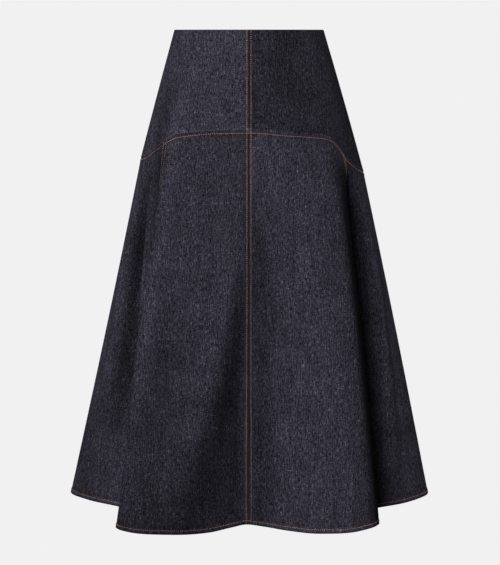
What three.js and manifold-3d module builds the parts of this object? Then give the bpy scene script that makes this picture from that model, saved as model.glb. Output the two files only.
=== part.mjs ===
// A flared midi skirt in rigid, near-black denim: a fitted hip yoke with front and back panels and one wide
// gore at each side under it, closed at centre back by a concealed zip. Millimetres, +Z up. The origin is the
// middle of the waist opening, the front faces -Y, and the wearer's left is +X. The skirt is filled out as
// when it is worn, with nothing inside it.
import * as THREE from 'three';
import Module from 'manifold-3d';

// Driving dimensions, in millimetres.
const LENGTH = 792; // waist edge to hem, straight down
const DENIM = 1.5; // one layer of cloth
const SEAM_GAP = 0.3; // between two pieces at a seam
const HEM_TURN = 9; // height of the turned-up hem
const HEM_THICK = 2.8; // cloth and turning together
const HEM_STEP = 0.15; // height of the step up to that, as a part of the turning
const ROUNDNESS = 2.15; // power of the hip's oval, where 2 is an ellipse
const HEM_OVAL = { half: 308, front: 222, back: 246 }; // the hem as it would be without folds
const SWAY = 3; // the skirt hangs this far to the wearer's left, half way down
const YOKE_ROWS = 6;
const SKIRT_ROWS = 12;

// The hip, ring by ring: how far below the waist, half the width, and the depth in front and behind.
const HIP_RINGS = [
  { down: 0, half: 124, front: 88, back: 86 },
  { down: 80, half: 147, front: 102, back: 107 },
  { down: 160, half: 169.5, front: 115, back: 124 },
  { down: 250, half: 194, front: 128, back: 138 },
];

// The seam under the yoke: bearing in degrees from centre front, towards the wearer's left, and depth.
const YOKE_SEAM = [
  { bearing: -180, down: 172 },
  { bearing: -150, down: 173 },
  { bearing: -128, down: 178 },
  { bearing: -112, down: 200 },
  { bearing: -90, down: 212 },
  { bearing: -77, down: 206 },
  { bearing: -67, down: 191 },
  { bearing: -59, down: 176 },
  { bearing: -52, down: 168 },
  { bearing: -24, down: 161 },
  { bearing: 0, down: 160 },
  { bearing: 30, down: 165 },
  { bearing: 52, down: 170 },
  { bearing: 60, down: 177 },
  { bearing: 64, down: 194 },
  { bearing: 68, down: 210 },
  { bearing: 77, down: 226 },
  { bearing: 92, down: 236 },
  { bearing: 112, down: 218 },
  { bearing: 128, down: 182 },
  { bearing: 150, down: 174 },
];

// Folds and flats: the bearing where a line of cloth leaves the yoke seam, how many degrees it swings round
// on its way down, how far from the middle it ends at the hem, and how late it opens, as a power of the fall.
const FOLDS = [
  { bearing: -180, lean: 0, reach: 238, late: 1.3 },
  { bearing: -166, lean: -3, reach: 243, late: 1.3 },
  { bearing: -150, lean: -4, reach: 276, late: 1.3 },
  { bearing: -136, lean: 1, reach: 292, late: 1.3 },
  { bearing: -124, lean: 4, reach: 262, late: 1.3 },
  { bearing: -112, lean: 4, reach: 272, late: 1.3 },
  { bearing: -101, lean: 2, reach: 304, late: 1.3 },
  { bearing: -90, lean: 0, reach: 308, late: 1.1 },
  { bearing: -81, lean: 2, reach: 277, late: 1.3 },
  { bearing: -72, lean: 7, reach: 236, late: 1.3 },
  { bearing: -65, lean: 14, reach: 226, late: 1.2 },
  { bearing: -58, lean: 14.5, reach: 309, late: 1.2 },
  { bearing: -49, lean: 13, reach: 312, late: 1.3 },
  { bearing: -38, lean: 13, reach: 292, late: 1.6 },
  { bearing: -25, lean: 10, reach: 262, late: 2.0 },
  { bearing: -12, lean: 4.4, reach: 226, late: 2.2 },
  { bearing: 0, lean: 0, reach: 206, late: 2.2 },
  { bearing: 11, lean: -4, reach: 220, late: 2.2 },
  { bearing: 24, lean: -9, reach: 250, late: 2.0 },
  { bearing: 38, lean: -14, reach: 282, late: 1.6 },
  { bearing: 50, lean: -15, reach: 300, late: 1.3 },
  { bearing: 58, lean: -15, reach: 297, late: 1.2 },
  { bearing: 63, lean: -17, reach: 293, late: 1.2 },
  { bearing: 67, lean: -16, reach: 212, late: 1.2 },
  { bearing: 74, lean: -9, reach: 240, late: 1.3 },
  { bearing: 82, lean: -6, reach: 276, late: 1.3 },
  { bearing: 90, lean: -1, reach: 309, late: 1.1 },
  { bearing: 102, lean: -3, reach: 298, late: 1.3 },
  { bearing: 116, lean: -3, reach: 256, late: 1.3 },
  { bearing: 128, lean: 2, reach: 268, late: 1.3 },
  { bearing: 142, lean: 0, reach: 296, late: 1.3 },
  { bearing: 156, lean: 3, reach: 270, late: 1.3 },
  { bearing: 168, lean: 2, reach: 242, late: 1.3 },
];

// The cut pieces of each level, as sectors between two seams, with the columns that their walls have.
const FRONT_SEAM = 61.5; // bearing of the seam between a front panel and its side gore
const BACK_SEAM = 121;
const SECTORS = [
  { from: 0, to: FRONT_SEAM, columns: 17 },
  { from: FRONT_SEAM, to: 90, columns: 13 },
  { from: 90, to: BACK_SEAM, columns: 9 },
  { from: BACK_SEAM, to: 180, columns: 12 },
];

// The concealed zip at centre back.
const ZIP = {
  length: 220, tape: 14, tapeThick: 1, tapeTop: 3, clear: 1.1, rows: 10, sliderDown: 9, notchHalf: 1.2,
};
const SLIDER = {
  bodyHalf: 4, bodyTall: 10, bodyThick: 3, neckHalf: 0.8, neckTall: 5, plateHalf: 2.2, plateTall: 8,
  plateThick: 1.1, lift: 0.5, archHalf: 0.9, archTall: 6.4, archOut: 3, tunnelTall: 3.6, tunnelOut: 2.2,
  bite: 0.4, // how far its joined blocks run into each other
};
const PULL = { thick: 1, bar: 1, eyeHalf: 1.35, eyeTall: 3.7, topHalf: 2.7, tipHalf: 3.1, length: 24 };

const denim = new THREE.MeshStandardMaterial({ color: 0x2d2c34, roughness: 0.9 });
const tapeCloth = new THREE.MeshStandardMaterial({ color: 0x1d1c24, roughness: 0.85 });
const brass = new THREE.MeshStandardMaterial({ color: 0x8a6a42, roughness: 0.4, metalness: 1 });

// A smooth curve through a table's rows, which never overshoots them. A turn of 360 closes it on itself.
function curveThrough(rows, along, value, turn = 0) {
  const points = rows.map((row) => [row[along], row[value]]);
  if (turn) {
    const before = points.slice(-2).map(([x, y]) => [x - turn, y]);
    const after = points.slice(0, 2).map(([x, y]) => [x + turn, y]);
    points.unshift(...before);
    points.push(...after);
  }
  const slopes = points.slice(1).map(([x, y], i) => (y - points[i][1]) / (x - points[i][0]));
  const tangents = points.map((point, i) => {
    const before = slopes[Math.max(i - 1, 0)];
    const after = slopes[Math.min(i, slopes.length - 1)];
    return before * after > 0 ? (2 * before * after) / (before + after) : 0;
  });
  return (x) => {
    let i = 0;
    while (i < points.length - 2 && x > points[i + 1][0]) i += 1;
    const [x0, y0] = points[i];
    const [x1, y1] = points[i + 1];
    const width = x1 - x0;
    const t = (x - x0) / width;
    const rise = t * t * (3 - 2 * t);
    return y0 + (y1 - y0) * rise
      + width * t * (1 - t) * (tangents[i] * (1 - t) - tangents[i + 1] * t);
  };
}

const halfWidth = curveThrough(HIP_RINGS, 'down', 'half');
const frontDepth = curveThrough(HIP_RINGS, 'down', 'front');
const backDepth = curveThrough(HIP_RINGS, 'down', 'back');
const seamDown = curveThrough(YOKE_SEAM, 'bearing', 'down', 360);
const foldLean = curveThrough(FOLDS, 'bearing', 'lean', 360);
const foldReach = curveThrough(FOLDS, 'bearing', 'reach', 360);
const foldLate = curveThrough(FOLDS, 'bearing', 'late', 360);

// The point at a bearing and a distance from the upright axis.
function polar(bearing, reach, down) {
  const angle = THREE.MathUtils.degToRad(bearing);
  return new THREE.Vector3(reach * Math.sin(angle), -reach * Math.cos(angle), -down);
}

// How far a rounded oval reaches at a bearing.
function ovalReach(bearing, half, front, back) {
  const angle = THREE.MathUtils.degToRad(bearing);
  const depth = Math.cos(angle) > 0 ? front : back;
  const sum = Math.abs(Math.sin(angle) / half) ** ROUNDNESS
    + Math.abs(Math.cos(angle) / depth) ** ROUNDNESS;
  return sum ** (-1 / ROUNDNESS);
}

const sway = (down) => SWAY * Math.sin((Math.PI * down) / LENGTH);

function hipPoint(bearing, down) {
  const point = polar(bearing, ovalReach(bearing, halfWidth(down), frontDepth(down), backDepth(down)), down);
  point.x += sway(down);
  return point;
}

// The outside of the cloth. Level 0 is the waist edge, 1 the yoke seam and 2 the hem.
function clothPoint(bearing, level) {
  const seam = seamDown(bearing);
  if (level <= 1) return hipPoint(bearing, seam * level);
  const fall = level - 1;
  const top = hipPoint(bearing, seam);
  top.x -= sway(seam);
  const plain = polar(bearing, ovalReach(bearing, HEM_OVAL.half, HEM_OVAL.front, HEM_OVAL.back), LENGTH);
  const folded = polar(bearing + foldLean(bearing), foldReach(bearing), LENGTH);
  const fold = folded.sub(plain).multiplyScalar(fall ** foldLate(bearing));
  const point = top.lerp(plain, fall).add(fold);
  point.x += sway(-point.z);
  return point;
}

// How the surface runs per degree round and per level down.
function clothSlopes(bearing, level) {
  const turn = 0.2;
  const drop = 0.01;
  const low = Math.min(level + drop, 2);
  const high = Math.max(level - drop, 0);
  const round = clothPoint(bearing + turn, level).sub(clothPoint(bearing - turn, level));
  const down = clothPoint(bearing, low).sub(clothPoint(bearing, high));
  return { round: round.divideScalar(2 * turn), down: down.divideScalar(low - high) };
}

// A point on the cloth, or under it by a depth along the way that the cloth faces.
function clothAt(bearing, level, depth = 0) {
  const point = clothPoint(bearing, level);
  if (!depth) return point;
  const { round, down } = clothSlopes(bearing, level);
  return point.addScaledVector(down.cross(round).normalize(), -depth);
}

// A closed wall over a grid: place(across, down, inner) gives a point of its outside or its inside.
function wall(name, across, down, place, material) {
  const positions = [];
  const index = [];
  const width = down.length;
  const inner = across.length * width;
  for (const side of [false, true]) {
    for (const a of across) for (const d of down) positions.push(...place(a, d, side).toArray());
  }
  const at = (i, j) => i * width + j;
  const quad = (a, b, c, d) => index.push(a, b, c, a, c, d);
  for (let i = 0; i < across.length - 1; i += 1) {
    for (let j = 0; j < width - 1; j += 1) {
      const corners = [at(i, j), at(i, j + 1), at(i + 1, j + 1), at(i + 1, j)];
      quad(...corners);
      quad(...corners.reverse().map((corner) => corner + inner));
    }
  }
  const rim = [];
  for (let j = 0; j < width - 1; j += 1) rim.push(at(0, j));
  for (let i = 0; i < across.length - 1; i += 1) rim.push(at(i, width - 1));
  for (let j = width - 1; j > 0; j -= 1) rim.push(at(across.length - 1, j));
  for (let i = across.length - 1; i > 0; i -= 1) rim.push(at(i, 0));
  rim.forEach((from, k) => {
    const to = rim[(k + 1) % rim.length];
    quad(to, from, from + inner, to + inner);
  });
  const geometry = new THREE.BufferGeometry();
  geometry.setAttribute('position', new THREE.Float32BufferAttribute(positions, 3));
  geometry.setIndex(index);
  const mesh = new THREE.Mesh(geometry, material);
  mesh.name = name;
  return mesh;
}

// Bearings between two seams, closer together where the hem bends most.
function spread(from, to, columns) {
  const steps = 400;
  const bendWeight = 26; // millimetres of hem that a bend of one radian counts for
  const measure = [0];
  let heading = null;
  for (let k = 1; k <= steps; k += 1) {
    const start = clothPoint(from + ((to - from) * (k - 1)) / steps, 2);
    const along = clothPoint(from + ((to - from) * k) / steps, 2).sub(start);
    const turned = heading ? along.angleTo(heading) : 0;
    measure.push(measure[k - 1] + along.length() + bendWeight * turned);
    heading = along;
  }
  return Array.from({ length: columns + 1 }, (_, column) => {
    const wanted = (measure[steps] * column) / columns;
    const k = Math.max(measure.findIndex((value) => value >= wanted - 1e-9), 1);
    const part = (wanted - measure[k - 1]) / (measure[k] - measure[k - 1]);
    return from + ((to - from) * (k - 1 + part)) / steps;
  });
}

// Bearings of one side's columns from a seam to another, through every sector between them.
function columnsBetween(from, to, side) {
  const parts = SECTORS.filter((sector) => sector.from >= from && sector.to <= to);
  const bearings = parts.flatMap((sector) => spread(side * sector.from, side * sector.to, sector.columns));
  return [...new Set(bearings.map((bearing) => Number(bearing.toFixed(4))))].sort((a, b) => a - b);
}

const evenRows = (from, to, rows) => Array.from({ length: rows + 1 }, (_, k) => from + ((to - from) * k) / rows);
const hemLevels = HEM_TURN / (LENGTH - seamDown(0)); // the turning, as a part of the level under the yoke
const yokeLevels = evenRows(0, 1, YOKE_ROWS);
const hemTop = 2 - hemLevels;
const skirtLevels = [...evenRows(1, hemTop - HEM_STEP * hemLevels, SKIRT_ROWS), hemTop, 2];

// One cut piece of denim, held back from its seams by half the seam gap and doubled along the hem.
function cutPiece(name, columns, levels) {
  const [first, last] = [columns[0], columns[columns.length - 1]];
  const [top, bottom] = [levels[0], levels[levels.length - 1]];
  const place = (bearing, level, inner) => {
    const { round, down } = clothSlopes(bearing, level);
    const sideways = SEAM_GAP / 2 / round.length();
    const endways = SEAM_GAP / 2 / down.length();
    let b = bearing;
    let l = level;
    if (bearing === first) b += sideways;
    if (bearing === last) b -= sideways;
    if (level === top && top > 0) l += endways;
    if (level === bottom && bottom < 2) l -= endways;
    const depth = level >= hemTop ? HEM_THICK : DENIM;
    return clothAt(b, l, inner ? depth : 0);
  };
  return wall(name, columns, levels, place, denim);
}

const skirt = new THREE.Group();
for (const [hand, side] of [['left', 1], ['right', -1]]) {
  skirt.add(
    cutPiece(`front_yoke_${hand}`, columnsBetween(0, 90, side), yokeLevels),
    cutPiece(`back_yoke_${hand}`, columnsBetween(90, 180, side), yokeLevels),
    cutPiece(`front_panel_${hand}`, columnsBetween(0, FRONT_SEAM, side), skirtLevels),
    cutPiece(`side_gore_${hand}`, columnsBetween(FRONT_SEAM, BACK_SEAM, side), skirtLevels),
    cutPiece(`back_panel_${hand}`, columnsBetween(BACK_SEAM, 180, side), skirtLevels),
  );
}

// The level at a depth below the waist on the centre back line.
function backLevel(down) {
  const seam = seamDown(180);
  return down <= seam ? down / seam : 1 + (down - seam) / (LENGTH - seam);
}

// Zip tapes: two strips behind the back opening, a clear width from its middle.
for (const [hand, side] of [['left', 1], ['right', -1]]) {
  const across = [ZIP.clear, ZIP.clear + ZIP.tape / 2, ZIP.clear + ZIP.tape].map((x) => side * x);
  const levels = evenRows(ZIP.tapeTop, ZIP.length, ZIP.rows).map(backLevel);
  const place = (x, level, inner) => {
    const perDegree = clothSlopes(180, level).round.length();
    const depth = DENIM + SEAM_GAP + (inner ? ZIP.tapeThick : 0);
    return clothAt(180 - x / perDegree, level, depth);
  };
  const order = side > 0 ? across.reverse() : across;
  skirt.add(wall(`zip_tape_${hand}`, order, levels, place, tapeCloth));
}

// manifold-3d joins and cuts the slider and the notch that its neck passes through.
const wasm = await Module();
wasm.setup();

function solidOf(geometry) {
  const positions = geometry.getAttribute('position');
  const seen = new Map();
  const vertices = [];
  const remap = [];
  for (let i = 0; i < positions.count; i += 1) {
    const point = [positions.getX(i), positions.getY(i), positions.getZ(i)];
    const key = point.map((value) => value.toFixed(4)).join(' ');
    if (!seen.has(key)) {
      seen.set(key, vertices.length / 3);
      vertices.push(...point);
    }
    remap.push(seen.get(key));
  }
  const order = geometry.index ? Array.from(geometry.index.array) : remap.map((_, i) => i);
  const triVerts = Uint32Array.from(order.map((i) => remap[i]));
  return new wasm.Manifold(new wasm.Mesh({ numProp: 3, vertProperties: Float32Array.from(vertices), triVerts }));
}

function geometryOf(solid) {
  const mesh = solid.getMesh();
  const geometry = new THREE.BufferGeometry();
  geometry.setAttribute('position', new THREE.BufferAttribute(mesh.vertProperties, 3));
  geometry.setIndex(Array.from(mesh.triVerts));
  return geometry;
}

function block(halfX, y0, y1, z0, z1) {
  const box = new THREE.BoxGeometry(2 * halfX, y1 - y0, z1 - z0);
  return box.translate(0, (y0 + y1) / 2, (z0 + z1) / 2);
}

// The zip's own frame: on the cloth at the slider, its y out of the cloth and its z up along it.
const sliderLevel = backLevel(ZIP.sliderDown);
const runDown = clothSlopes(180, sliderLevel).down;
const zipFrame = new THREE.Group();
zipFrame.position.copy(clothPoint(180, sliderLevel));
zipFrame.rotation.x = Math.atan2(runDown.y, -runDown.z);
zipFrame.updateMatrix();

// The slider: a body behind the tapes, a neck through the notch, and outside a plate with an arch on it.
const tapesIn = DENIM + 2 * SEAM_GAP + ZIP.tapeThick;
const plateTop = SLIDER.lift + SLIDER.plateThick;
const sliderParts = [
  block(SLIDER.bodyHalf, -tapesIn - SLIDER.bodyThick, -tapesIn, -SLIDER.bodyTall / 2, SLIDER.bodyTall / 2),
  block(SLIDER.neckHalf, -tapesIn - SLIDER.bite, SLIDER.lift + SLIDER.bite, -SLIDER.neckTall / 2,
    SLIDER.neckTall / 2),
  block(SLIDER.plateHalf, SLIDER.lift, plateTop, -SLIDER.plateTall / 2, SLIDER.plateTall / 2),
  block(SLIDER.archHalf, plateTop - SLIDER.bite, plateTop + SLIDER.archOut, -SLIDER.archTall / 2, SLIDER.archTall / 2),
].map(solidOf);
const tunnel = solidOf(block(2 * SLIDER.archHalf, plateTop, plateTop + SLIDER.tunnelOut,
  -SLIDER.tunnelTall / 2, SLIDER.tunnelTall / 2));
const [sliderBody, sliderNeck, sliderPlate, sliderArch] = sliderParts;
const slider = new THREE.Mesh(
  geometryOf(sliderBody.add(sliderNeck).add(sliderPlate).add(sliderArch.subtract(tunnel))), brass);
slider.name = 'zip_slider';

// The pull tab: a flat tongue whose eye has its top bar in the tunnel under the arch.
const barOut = plateTop + SLIDER.tunnelOut / 2;
const tongue = new THREE.Shape();
tongue.moveTo(-PULL.topHalf, PULL.bar / 2);
tongue.lineTo(-PULL.tipHalf, -PULL.length + PULL.tipHalf);
tongue.absarc(0, -PULL.length + PULL.tipHalf, PULL.tipHalf, Math.PI, 2 * Math.PI);
tongue.lineTo(PULL.topHalf, PULL.bar / 2);
tongue.closePath();
const eye = new THREE.Path();
eye.moveTo(-PULL.eyeHalf, -PULL.bar / 2);
eye.lineTo(PULL.eyeHalf, -PULL.bar / 2);
eye.lineTo(PULL.eyeHalf, -PULL.bar / 2 - PULL.eyeTall);
eye.lineTo(-PULL.eyeHalf, -PULL.bar / 2 - PULL.eyeTall);
eye.closePath();
tongue.holes.push(eye);
const pullShape = new THREE.ExtrudeGeometry(tongue, { depth: PULL.thick, bevelEnabled: false, curveSegments: 8 });
pullShape.rotateX(Math.PI / 2).translate(0, PULL.thick / 2, 0);
const pull = new THREE.Mesh(pullShape, brass);
pull.name = 'zip_pull';
pull.position.set(0, barOut, 0);
zipFrame.add(slider, pull);
skirt.add(zipFrame);

// The notch in both edges of the back opening.
const notchTall = SLIDER.neckTall / 2 + SLIDER.bite;
const notch = block(ZIP.notchHalf, -2 * DENIM, DENIM, -notchTall, notchTall).applyMatrix4(zipFrame.matrix);
for (const mesh of skirt.children) {
  if (mesh.name.startsWith('back_yoke')) mesh.geometry = geometryOf(solidOf(mesh.geometry).subtract(solidOf(notch)));
}

export default skirt;
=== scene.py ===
# A flared denim midi skirt, filled out as when it is worn, with nothing inside it. Metres, +Z up: the origin
# is the middle of the waist opening, the front faces -Y, and the wearer's left is +X.
import math

import bmesh
import bpy
import numpy as np
from mathutils import Matrix, Vector


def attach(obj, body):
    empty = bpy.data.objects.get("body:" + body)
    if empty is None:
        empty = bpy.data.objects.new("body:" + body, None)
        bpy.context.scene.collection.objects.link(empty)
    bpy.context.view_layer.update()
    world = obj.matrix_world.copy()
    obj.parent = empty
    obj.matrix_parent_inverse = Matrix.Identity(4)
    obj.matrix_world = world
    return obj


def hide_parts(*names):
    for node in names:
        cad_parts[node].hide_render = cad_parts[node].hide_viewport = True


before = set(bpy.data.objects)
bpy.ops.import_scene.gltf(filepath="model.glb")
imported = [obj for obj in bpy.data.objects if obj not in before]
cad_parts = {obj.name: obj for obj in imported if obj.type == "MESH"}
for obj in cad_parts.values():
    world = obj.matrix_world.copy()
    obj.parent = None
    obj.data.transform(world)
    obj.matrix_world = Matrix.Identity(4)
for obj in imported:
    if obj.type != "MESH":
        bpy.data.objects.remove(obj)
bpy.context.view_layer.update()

# The studio. A camera at waist height, 3 m off, looks down a little at the skirt, in a round bay of pale
# paper. One large soft lamp stands in front, high and a little to the left, with a weaker one further round,
# and three stand behind the skirt, for its back and its sides.
FRAME_TALL = 565  # pixels
SENSOR = 36.0
FOCAL_PIXELS = 1782.0
CAMERA_AT = (0.0017, -3.0, 0.0)
CAMERA_DOWN = 8.08  # degrees
PAPER = "F1F1F1"
FLOOR_Z = -1.15
BAY = {"floor": 4.2, "bend": 1.4, "top": 5.0, "segments": 96, "steps": 12}
KEY = {"at": (-0.62, -3.05, 1.8), "size": 1.4, "watts": 134.0}
SIDE = {"at": (-1.9, -2.5, 1.7), "size": 1.2, "watts": 50.0}
BACK = {"at": (0.0, 3.2, 1.7), "size": 1.4, "watts": 118.0}
LEFT_REAR = {"at": (-2.9, 1.8, 1.4), "size": 1.2, "watts": 30.0}
RIGHT_REAR = {"at": (2.9, 1.8, 1.4), "size": 1.2, "watts": 34.0}
ROOM_LIGHT = 0.03  # a faint light from all sides


def linear(hexcode):
    """Linear colour of an sRGB hex value."""
    parts = [int(hexcode[i : i + 2], 16) / 255 for i in (0, 2, 4)]
    return tuple(c / 12.92 if c <= 0.04045 else ((c + 0.055) / 1.055) ** 2.4 for c in parts) + (1.0,)


def new_material(name):
    """An empty node material with its shader and output."""
    material = bpy.data.materials.new(name)
    material.use_nodes = True
    tree = material.node_tree
    tree.nodes.clear()
    shader = tree.nodes.new("ShaderNodeBsdfPrincipled")
    output = tree.nodes.new("ShaderNodeOutputMaterial")
    tree.links.new(shader.outputs[0], output.inputs[0])
    return material, tree, shader


def finish_mesh(bm, name, materials, smooth=True):
    """Turn a bmesh into an object at the origin."""
    mesh = bpy.data.meshes.new(name)
    bm.to_mesh(mesh)
    bm.free()
    for material in materials:
        mesh.materials.append(material)
    mesh.polygons.foreach_set("use_smooth", [smooth] * len(mesh.polygons))
    piece = bpy.data.objects.new(name, mesh)
    bpy.context.scene.collection.objects.link(piece)
    return piece


def soft_lamp(name, at, size, watts):
    """A round soft lamp, aimed at the middle of the skirt."""
    data = bpy.data.lights.new(name, "AREA")
    data.shape = "DISK"
    data.size = size
    data.energy = watts
    lamp = bpy.data.objects.new(name, data)
    lamp.location = at
    target = Vector((0, 0, -0.4))
    lamp.rotation_euler = (target - Vector(at)).to_track_quat("-Z", "Y").to_euler()
    bpy.context.scene.collection.objects.link(lamp)


camera_data = bpy.data.cameras.new("camera")
camera_data.sensor_width = SENSOR
camera_data.lens = FOCAL_PIXELS * SENSOR / FRAME_TALL
camera = bpy.data.objects.new("camera", camera_data)
camera.location = CAMERA_AT
camera.rotation_euler = (math.radians(90 - CAMERA_DOWN), 0, 0)
bpy.context.scene.collection.objects.link(camera)
bpy.context.scene.camera = camera
bpy.context.scene.view_settings.view_transform = "Standard"

soft_lamp("key_lamp", **KEY)
soft_lamp("side_lamp", **SIDE)
soft_lamp("back_lamp", **BACK)
soft_lamp("left_rear_lamp", **LEFT_REAR)
soft_lamp("right_rear_lamp", **RIGHT_REAR)
world = bpy.data.worlds.new("white_room")
world.use_nodes = True
world.node_tree.nodes["Background"].inputs["Color"].default_value = linear(PAPER)
world.node_tree.nodes["Background"].inputs["Strength"].default_value = ROOM_LIGHT
bpy.context.scene.world = world

# Matt background paper. It glows by itself, so it looks even and pale, and it takes no shadow and doesn't
# light the cloth. Its floor bends up into a wall all round.
paper, tree, shader = new_material("seamless_paper")
shader.inputs["Base Color"].default_value = linear("000000")
shader.inputs["Roughness"].default_value = 1.0
shader.inputs["Specular IOR Level"].default_value = 0.0
shader.inputs["Emission Color"].default_value = linear(PAPER)
shader.inputs["Emission Strength"].default_value = 1.0
bm = bmesh.new()
bmesh.ops.create_circle(bm, cap_ends=True, segments=BAY["segments"], radius=BAY["floor"])
bmesh.ops.translate(bm, verts=bm.verts[:], vec=(0, 0, FLOOR_Z))
for turn in range(1, BAY["steps"] + 1):
    angle = math.pi / 2 * turn / BAY["steps"]
    rim = [edge for edge in bm.edges if edge.is_boundary]
    grown = bmesh.ops.extrude_edge_only(bm, edges=rim)["geom"]
    grown = [v for v in grown if isinstance(v, bmesh.types.BMVert)]
    reach = BAY["floor"] + BAY["bend"] * math.sin(angle)
    rise = BAY["bend"] * (1 - math.cos(angle))
    for v in grown:
        flat = Vector((v.co.x, v.co.y)).normalized() * reach
        v.co = (flat.x, flat.y, FLOOR_Z + rise)
rim = [edge for edge in bm.edges if edge.is_boundary]
grown = bmesh.ops.extrude_edge_only(bm, edges=rim)["geom"]
bmesh.ops.translate(bm, verts=[v for v in grown if isinstance(v, bmesh.types.BMVert)], vec=(0, 0, BAY["top"]))
bay = finish_mesh(bm, "paper_bay", [paper])
bay.visible_diffuse = False
bay.visible_glossy = False
bay.visible_shadow = False

# The front panels: two pieces of rigid, unwashed indigo denim of about 450 g per square metre, joined by a
# felled seam at centre front. The cloth's shape, its seams and its finish are worked out here for all of
# the cut pieces, because each of them is cut from the same cloth and hangs in the same folds.
MM = 0.001
LENGTH = 792  # millimetres, as in the tables: waist edge to hem, straight down
ROUNDNESS = 2.15  # of each ring; 2 would be an ellipse
HEM_OVAL = {"half": 308, "front": 222, "back": 246}  # the hem before its folds
SWAY = 3  # how far it swings to the wearer's left half way down
STEADY = 16  # degrees each side of centre front that don't swing
CLOTH = 1.5  # thickness
HEM_THICK = 2.8
HEM_TURN = 9  # how tall the turned-up hem is
FRONT_SEAM = 61.5  # degrees round from centre front
BACK_SEAM = 121
TWIN_HALF = 3.3  # each row of a twin-stitched seam stands this far from the seam
YOKE_ROW = 6.0  # the row of stitches under the yoke seam
HEM_ROW = 6.2  # and the one above the hem edge


def table(columns, *rows):
    """A table whose columns are read by name."""
    return np.array(list(rows), dtype=[(name, float) for name in columns.split()])


# The cloth is followed by its bearing, in degrees round from centre front towards the wearer's left. The
# rings are the fitted hips, and the yoke seam lies that far down on them. Each fold leans round and reaches
# out at the hem, and opens sooner or later on its way down.
HIP_RINGS = table(
    "down half front back",
    (0, 124, 88, 86),
    (80, 147, 102, 107),
    (160, 169.5, 115, 124),
    (250, 194, 128, 138),
)
YOKE_SEAM = table(
    "bearing down",
    (-180, 172), (-150, 173), (-128, 178), (-112, 200), (-90, 212), (-77, 206), (-67, 191),
    (-59, 176), (-52, 168), (-24, 161), (0, 160), (30, 165), (52, 170), (60, 177), (64, 194),
    (68, 210), (77, 226), (92, 236), (112, 218), (128, 182), (150, 174),
)
FOLDS = table(
    "bearing lean reach late",
    (-180, 0, 238, 1.3), (-166, -3, 243, 1.3), (-150, -4, 276, 1.3), (-136, 1, 292, 1.3),
    (-124, 4, 262, 1.3), (-112, 4, 272, 1.3), (-101, 2, 304, 1.3), (-90, 0, 308, 1.1),
    (-81, 2, 277, 1.3), (-72, 7, 236, 1.3), (-65, 14, 226, 1.2), (-58, 14.5, 309, 1.2),
    (-49, 13, 312, 1.3), (-38, 13, 292, 1.6), (-25, 10, 262, 2.0), (-12, 4.4, 226, 2.2),
    (0, 0, 206, 2.2), (11, -4, 220, 2.2), (24, -9, 250, 2.0), (38, -14, 282, 1.6),
    (50, -15, 300, 1.3), (58, -15, 297, 1.2), (63, -17, 293, 1.2), (67, -16, 212, 1.2),
    (74, -9, 240, 1.3), (82, -6, 276, 1.3), (90, -1, 309, 1.1), (102, -3, 298, 1.3),
    (116, -3, 256, 1.3), (128, 2, 268, 1.3), (142, 0, 296, 1.3), (156, 3, 270, 1.3),
    (168, 2, 242, 1.3),
)
# Soft creases. Each runs through three bearings, at its top, middle and foot level, and rises by its
# height, or sinks where that is negative. Before and after are its widths on the side of smaller and of
# larger bearings, in millimetres. Opens is how much these grow towards its foot and shrink towards its top,
# and fade the share of its run in which each end goes to nothing.
CREASES = table(
    "top foot top_bearing middle_bearing foot_bearing before after height opens fade",
    (1.18, 2.16, -5, -28, -51, 50, 42, 20.0, 0.2, 0.3),
    (1.25, 2.15, -3, -2.5, -2, 21, 7, -11.0, 0.3, 0.4),
    (1.08, 2.05, 10, 14.5, 13, 7, 34, 3.5, 0, 0.3),
    (1.00, 2.04, -57, -58.5, -54, 6, 16, 8.0, 0.1, 0.14),
    (0.99, 1.95, -73, -72, -70, 15, 9, -16.0, 0, 0.3),
    (1.02, 1.90, -82, -82, -80, 12, 12, 5.0, 0, 0.3),
    (1.00, 2.15, 69, 67, 66, 8, 20, -24.0, 0, 0.1),
    (1.15, 2.00, 80, 80, 79, 14, 12, 5.0, 0, 0.25),
    (1.02, 2.10, 58, 58, 55, 14, 6, 3.5, 0, 0.2),
    (1.25, 1.95, -28, -45, -50, 22, 22, -2.6, 0, 0.35),
    (1.10, 1.85, -104, -101, -98, 20, 20, 2.2, 0, 0.35),
    (1.12, 1.80, 45, 42, 40, 26, 22, 1.6, 0, 0.35),
    (1.10, 1.80, 106, 108, 112, 20, 20, -2.5, 0, 0.35),
    (1.20, 1.95, 152, 149, 146, 22, 30, 3.5, 0, 0.35),
    (1.15, 1.90, -160, -162, -166, 22, 16, -3.0, 0, 0.35),
    (0.45, 1.02, -50, -55, -62, 10, 10, -0.8, 0, 0.4),
    (0.55, 1.02, 52, 58, 64, 10, 10, -0.8, 0, 0.4),
)
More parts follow.
